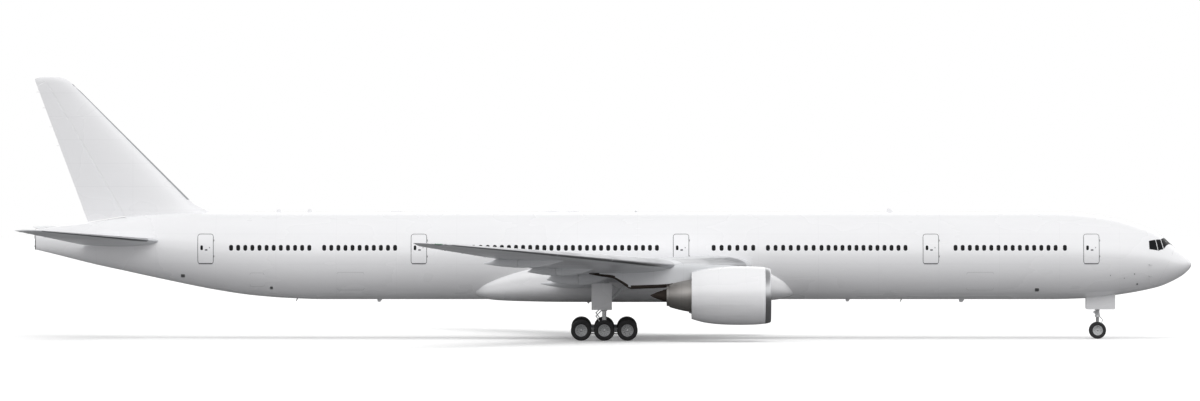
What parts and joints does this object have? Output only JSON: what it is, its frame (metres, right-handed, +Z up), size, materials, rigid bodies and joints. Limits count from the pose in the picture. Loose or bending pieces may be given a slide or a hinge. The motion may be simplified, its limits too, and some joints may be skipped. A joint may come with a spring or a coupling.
{
  "type": "twin-engined wide-body airliner, 1:2 scale model",
  "caption": "Long low-wing jet airliner at half scale, on its landing gear, with turning wheels and fans, steering nose gear and hinged control surfaces.",
  "frame": {"origin": "centre of the bounding box, on the ground under the wheels", "axes": "+X to the nose, +Y to the left wing tip, +Z up"},
  "size_m": [36.92, 32.4, 8.268],
  "materials": {
    "white_paint": "semi-gloss white paint",
    "cockpit_glass": "dark glazing",
    "bare_metal": "polished bare metal",
    "hot_metal": "heat-tinted metal",
    "blade_titanium": "dark metal",
    "gear_paint": "satin light grey paint",
    "tyre_rubber": "matt rubber"
  },
  "bodies": {
    "airframe": {"fuselage": "white_paint", "radome": "white_paint", "windscreen": "cockpit_glass", "wing_body_fairing": "white_paint", "door_left_1": "white_paint", "door_left_2": "white_paint", "door_left_3": "white_paint", "door_left_4": "white_paint", "door_left_5": "white_paint", "door_right_1": "white_paint", "door_right_2": "white_paint", "door_right_3": "white_paint", "door_right_4": "white_paint", "door_right_5": "white_paint", "fin": "white_paint", "wing_left": "white_paint", "wing_right": "white_paint", "pylon_left": "white_paint", "pylon_right": "white_paint", "intake_lip_left": "bare_metal", "intake_lip_right": "bare_metal", "nacelle_left": "white_paint", "nacelle_right": "white_paint", "engine_core_left": "hot_metal", "engine_core_right": "hot_metal", "exhaust_plug_left": "hot_metal", "exhaust_plug_right": "hot_metal", "main_leg_left": "gear_paint", "main_leg_right": "gear_paint", "main_gear_door_left": "white_paint", "main_gear_door_right": "white_paint", "truck_left": "gear_paint", "truck_right": "gear_paint", "nose_leg": "gear_paint", "nose_gear_door_left": "white_paint", "nose_gear_door_right": "white_paint"},
    "rudder": {"rudder": "white_paint"},
    "tailplane": {"tailplane_left": "white_paint", "tailplane_right": "white_paint"},
    "elevator_left": {"elevator_left": "white_paint"},
    "elevator_right": {"elevator_right": "white_paint"},
    "inboard_flap_left": {"inboard_flap_left": "white_paint"},
    "inboard_flap_right": {"inboard_flap_right": "white_paint"},
    "outboard_flap_left": {"outboard_flap_left": "white_paint"},
    "outboard_flap_right": {"outboard_flap_right": "white_paint"},
    "flaperon_left": {"flaperon_left": "white_paint"},
    "flaperon_right": {"flaperon_right": "white_paint"},
    "aileron_left": {"aileron_left": "white_paint"},
    "aileron_right": {"aileron_right": "white_paint"},
    "fan_left": {"fan_left": "blade_titanium"},
    "fan_right": {"fan_right": "blade_titanium"},
    "nose_steering": {"nose_steering": "gear_paint"},
    "nose_wheels": {"nose_wheels": "tyre_rubber"},
    "main_wheels_left_1": {"main_wheels_left_1": "tyre_rubber"},
    "main_wheels_left_2": {"main_wheels_left_2": "tyre_rubber"},
    "main_wheels_left_3": {"main_wheels_left_3": "tyre_rubber"},
    "main_wheels_right_1": {"main_wheels_right_1": "tyre_rubber"},
    "main_wheels_right_2": {"main_wheels_right_2": "tyre_rubber"},
    "main_wheels_right_3": {"main_wheels_right_3": "tyre_rubber"}
  },
  "joints": [
    {"name": "rudder_hinge", "type": "hinge", "parent": "airframe", "child": "rudder", "pos_m": [-16.5325, 0, 6.02], "axis": [-0.5044, 0, 0.8635], "range_deg": [-27, 27]},
    {"name": "tailplane_trim", "type": "hinge", "parent": "airframe", "child": "tailplane", "pos_m": [-15.55, 0, 3.055], "axis": [0, 1, 0], "range_deg": [-4, 11]},
    {"name": "inboard_flap_left_hinge", "type": "hinge", "parent": "airframe", "child": "inboard_flap_left", "pos_m": [-0.8, 3.11, 1.62812], "axis": [0.1138, -0.9889, -0.0954], "range_deg": [0, 30]},
    {"name": "inboard_flap_right_hinge", "type": "hinge", "parent": "airframe", "child": "inboard_flap_right", "pos_m": [-0.8, -3.11, 1.62812], "axis": [-0.1138, -0.9889, 0.0954], "range_deg": [0, 30]},
    {"name": "outboard_flap_left_hinge", "type": "hinge", "parent": "airframe", "child": "outboard_flap_left", "pos_m": [-2.51, 8.58, 2.26957], "axis": [0.3794, -0.9213, -0.0854], "range_deg": [0, 30]},
    {"name": "outboard_flap_right_hinge", "type": "hinge", "parent": "airframe", "child": "outboard_flap_right", "pos_m": [-2.51, -8.58, 2.26957], "axis": [-0.3794, -0.9213, 0.0854], "range_deg": [0, 30]},
    {"name": "flaperon_left_hinge", "type": "hinge", "parent": "airframe", "child": "flaperon_left", "pos_m": [-1.19, 5.21, 2.28668], "axis": [-0.3363, 0.937, 0.0948], "range_deg": [-36, 11]},
    {"name": "flaperon_right_hinge", "type": "hinge", "parent": "airframe", "child": "flaperon_right", "pos_m": [-1.19, -5.21, 2.28668], "axis": [0.3363, 0.937, -0.0948], "range_deg": [-36, 11]},
    {"name": "aileron_left_hinge", "type": "hinge", "parent": "airframe", "child": "aileron_left", "pos_m": [-4.42, 13.135, 2.99705], "axis": [-0.3907, 0.918, 0.0679], "range_deg": [-19, 33]},
    {"name": "aileron_right_hinge", "type": "hinge", "parent": "airframe", "child": "aileron_right", "pos_m": [-4.42, -13.135, 2.99705], "axis": [0.3907, 0.918, -0.0679], "range_deg": [-19, 33]},
    {"name": "elevator_left_hinge", "type": "hinge", "parent": "tailplane", "child": "elevator_left", "pos_m": [-16.9925, 3.05, 3.24615], "axis": [-0.4653, 0.8808, 0.0878], "range_deg": [-27, 33]},
    {"name": "elevator_right_hinge", "type": "hinge", "parent": "tailplane", "child": "elevator_right", "pos_m": [-16.9925, -3.05, 3.24615], "axis": [0.4653, 0.8808, -0.0878], "range_deg": [-27, 33]},
    {"name": "fan_left_spin", "type": "hinge", "parent": "airframe", "child": "fan_left", "pos_m": [3.95, 4.9, 1.45], "axis": [1, 0, 0], "continuous": true},
    {"name": "fan_right_spin", "type": "hinge", "parent": "airframe", "child": "fan_right", "pos_m": [3.95, -4.9, 1.45], "axis": [1, 0, 0], "continuous": true},
    {"name": "nose_steering_pivot", "type": "hinge", "parent": "airframe", "child": "nose_steering", "pos_m": [15.5, 0, 0.76], "axis": [0, 0, 1], "range_deg": [-70, 70]},
    {"name": "nose_wheels_spin", "type": "hinge", "parent": "nose_steering", "child": "nose_wheels", "pos_m": [15.5, 0, 0.26726], "axis": [0, 1, 0], "continuous": true},
    {"name": "main_wheels_left_1_spin", "type": "hinge", "parent": "airframe", "child": "main_wheels_left_1", "pos_m": [0.625, 2.75, 0.32366], "axis": [0, 1, 0], "continuous": true},
    {"name": "main_wheels_left_2_spin", "type": "hinge", "parent": "airframe", "child": "main_wheels_left_2", "pos_m": [-0.1, 2.75, 0.32366], "axis": [0, 1, 0], "continuous": true},
    {"name": "main_wheels_left_3_spin", "type": "hinge", "parent": "airframe", "child": "main_wheels_left_3", "pos_m": [-0.825, 2.75, 0.32366], "axis": [0, 1, 0], "continuous": true},
    {"name": "main_wheels_right_1_spin", "type": "hinge", "parent": "airframe", "child": "main_wheels_right_1", "pos_m": [0.625, -2.75, 0.32366], "axis": [0, 1, 0], "continuous": true},
    {"name": "main_wheels_right_2_spin", "type": "hinge", "parent": "airframe", "child": "main_wheels_right_2", "pos_m": [-0.1, -2.75, 0.32366], "axis": [0, 1, 0], "continuous": true},
    {"name": "main_wheels_right_3_spin", "type": "hinge", "parent": "airframe", "child": "main_wheels_right_3", "pos_m": [-0.825, -2.75, 0.32366], "axis": [0, 1, 0], "continuous": true}
  ]
}
